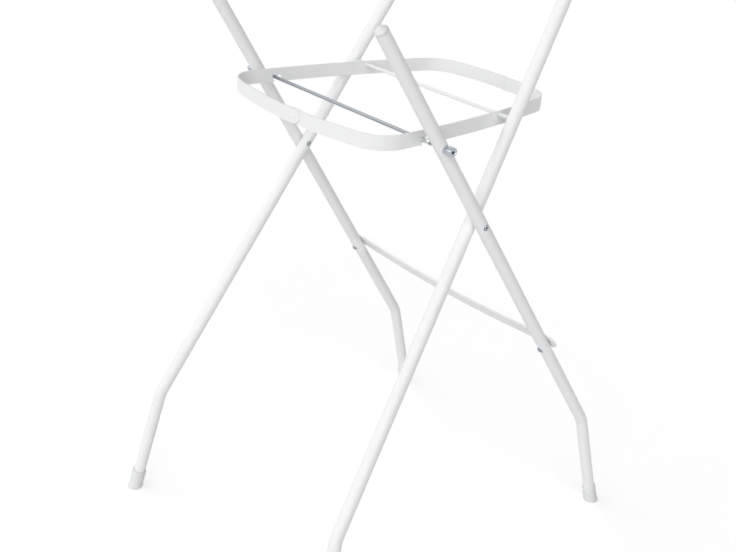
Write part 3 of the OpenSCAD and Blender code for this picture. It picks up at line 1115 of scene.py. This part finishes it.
def looked_at(tree: bpy.types.NodeTree) -> bpy.types.NodeSocket:
    """Tells direct sight and mirror images from the light that falls on the stand.

    Args:
        tree: The node tree of a material or of the surroundings.

    Returns:
        1 for camera, glossy and transmission rays, and 0 for all others.
    """
    rays = tree.nodes.new("ShaderNodeLightPath")
    seen = rays.outputs["Is Camera Ray"]
    for name in ("Is Glossy Ray", "Is Transmission Ray"):
        either = tree.nodes.new("ShaderNodeMath")
        either.operation = "MAXIMUM"
        tree.links.new(seen, either.inputs[0])
        tree.links.new(rays.outputs[name], either.inputs[1])
        seen = either.outputs["Value"]
    return seen


@dataclass(frozen=True)
class Viewpoint:
    """The camera, as the photograph was taken."""

    focal_px: float = 1150.952
    azimuth: float = 49.0651
    elevation: float = 26.2464
    roll: float = 2.7952
    target: tuple[float, float, float] = (-0.025136, 0.0, 0.475169)
    distance: float = 2.109772
    sensor: float = 36.0

    def build(self) -> bpy.types.Object:
        """Returns the scene's camera."""
        tilt = math.radians(self.roll)
        back = heading(self.azimuth, self.elevation)
        right = (-back).cross(Vector((0, 0, 1))).normalized()
        up = right.cross(-back)
        rolled_right = right * math.cos(tilt) + up * math.sin(tilt)
        rolled_up = up * math.cos(tilt) - right * math.sin(tilt)
        lens = bpy.data.cameras.new("camera")
        lens.sensor_width = self.sensor
        lens.lens = self.focal_px / PHOTO_WIDTH_PX * self.sensor
        lens.clip_start, lens.clip_end = 0.01, 200.0
        camera = bpy.data.objects.new("camera", lens)
        turn = Matrix((rolled_right, rolled_up, back)).transposed()
        camera.matrix_world = Matrix.Translation(
            Vector(self.target) + back * self.distance
        ) @ turn.to_4x4()
        bpy.context.scene.collection.objects.link(camera)
        bpy.context.scene.camera = camera
        return camera


@dataclass(frozen=True)
class SoftLamp:
    """A very broad far lamp, which lights the stand and the floor evenly."""

    name: str
    azimuth: float
    elevation: float
    level: float
    breadth: float = 60.0

    def build(self) -> bpy.types.Object:
        """Returns the lamp."""
        back = heading(self.azimuth, self.elevation)
        data = bpy.data.lights.new(self.name, "SUN")
        data.angle = math.radians(self.breadth)
        data.energy = math.pi * self.level
        lamp = bpy.data.objects.new(self.name, data)
        lamp.location = back * 4.0
        lamp.rotation_euler = back.to_track_quat("Z", "Y").to_euler()
        bpy.context.scene.collection.objects.link(lamp)
        return lamp


@dataclass(frozen=True)
class Studio:
    """The pale floor, the white surroundings and the soft lamps."""

    floor_r: float = 40.0
    floor_colour: tuple[float, float, float] = (0.72, 0.72, 0.72)
    floor_lift: float = 0.48
    fill: float = 0.335
    fill_swing: float = 0.24
    fill_azimuth: float = -83.6
    lamps: tuple[SoftLamp, ...] = (
        SoftLamp("left", -61.5, 30.0, 0.24),
        SoftLamp("front", 5.0, 25.0, 0.24),
        SoftLamp("right", 58.0, 20.0, 0.48),
    )

    def build(self) -> None:
        """Builds the floor, the surroundings and the lamps."""
        self.lay_floor()
        self.surround()
        for lamp in self.lamps:
            lamp.build()
        bpy.context.scene.view_settings.view_transform = "Standard"

    def lay_floor(self) -> None:
        """Lays a round floor that shows white and keeps the stand's shadow."""
        start_clean()
        bpy.ops.mesh.primitive_circle_add(
            vertices=96, radius=self.floor_r, fill_type="NGON", location=(0, 0, 0)
        )
        floor = bpy.context.object
        floor.name = "floor"
        bench = Bench("floor_paper")
        mottle = bench.noise(6.0, 3.0)
        deep = tuple(0.985 * c for c in self.floor_colour)
        bench.join(
            bench.tint(mottle, [(0.3, deep), (0.7, self.floor_colour)]),
            bench.shader.inputs["Base Color"],
        )
        bench.set(Roughness=0.9, Specular_IOR_Level=0.1)
        glow = bench.add("ShaderNodeEmission")
        strength = bench.add("ShaderNodeMath")
        strength.operation = "MULTIPLY"
        strength.inputs[1].default_value = self.floor_lift
        bench.join(looked_at(bench.tree), strength.inputs[0])
        bench.join(strength.outputs["Value"], glow.inputs["Strength"])
        both = bench.add("ShaderNodeAddShader")
        bench.join(bench.shader.outputs["BSDF"], both.inputs[0])
        bench.join(glow.outputs["Emission"], both.inputs[1])
        bench.join(both.outputs["Shader"], bench.output.inputs["Surface"])
        floor.data.materials.append(bench.material)

    def surround(self) -> None:
        """Makes the surroundings: white to look at, and a fill that is stronger on one side."""
        world = bpy.data.worlds.new("surroundings")
        bpy.context.scene.world = world
        world.use_nodes = True
        tree = world.node_tree
        tree.nodes.clear()
        side = tree.nodes.new("ShaderNodeVectorMath")
        side.operation = "DOT_PRODUCT"
        side.inputs[1].default_value = heading(self.fill_azimuth, 0.0)
        way = tree.nodes.new("ShaderNodeTexCoord")
        tree.links.new(way.outputs["Generated"], side.inputs[0])
        fill = tree.nodes.new("ShaderNodeMapRange")
        fill.inputs["From Min"].default_value = -self.fill / self.fill_swing
        fill.inputs["From Max"].default_value = 1.0
        fill.inputs["To Min"].default_value = 0.0
        fill.inputs["To Max"].default_value = self.fill + self.fill_swing
        tree.links.new(side.outputs["Value"], fill.inputs["Value"])
        strength = tree.nodes.new("ShaderNodeMapRange")
        strength.inputs["To Max"].default_value = 1.0
        tree.links.new(fill.outputs["Result"], strength.inputs["To Min"])
        tree.links.new(looked_at(tree), strength.inputs["Value"])
        light = tree.nodes.new("ShaderNodeBackground")
        light.inputs["Color"].default_value = (1, 1, 1, 1)
        tree.links.new(strength.outputs["Result"], light.inputs["Strength"])
        output = tree.nodes.new("ShaderNodeOutputWorld")
        tree.links.new(light.outputs["Background"], output.inputs["Surface"])


def main() -> None:
    """Builds and dresses the stand, and sets the studio round it."""
    logging.basicConfig(level=logging.INFO, format="%(name)s: %(message)s")
    Viewpoint().build()
    Studio().build()
    coat = PowderCoat("white_powder_coat").make()
    zinc = ZincPlate("bright_zinc").make()
    wire = DrawnSteel("drawn_wire").make()
    nylon = MouldedPlastic("white_nylon_sleeve", gloss=(0.34, 0.46), grain_depth=0.00003).make()
    plastic = MouldedPlastic("soft_white_plastic").make()
    FrameTubes().build(coat)
    Ring().build(coat)
    Hardware().build(coat, zinc, wire, nylon)
    PivotScrews().build()
    RodNuts().build()
    Boots().build(plastic)
    TopPlugs().build(plastic)
    start_clean()


if __name__ == "__main__":
    main()
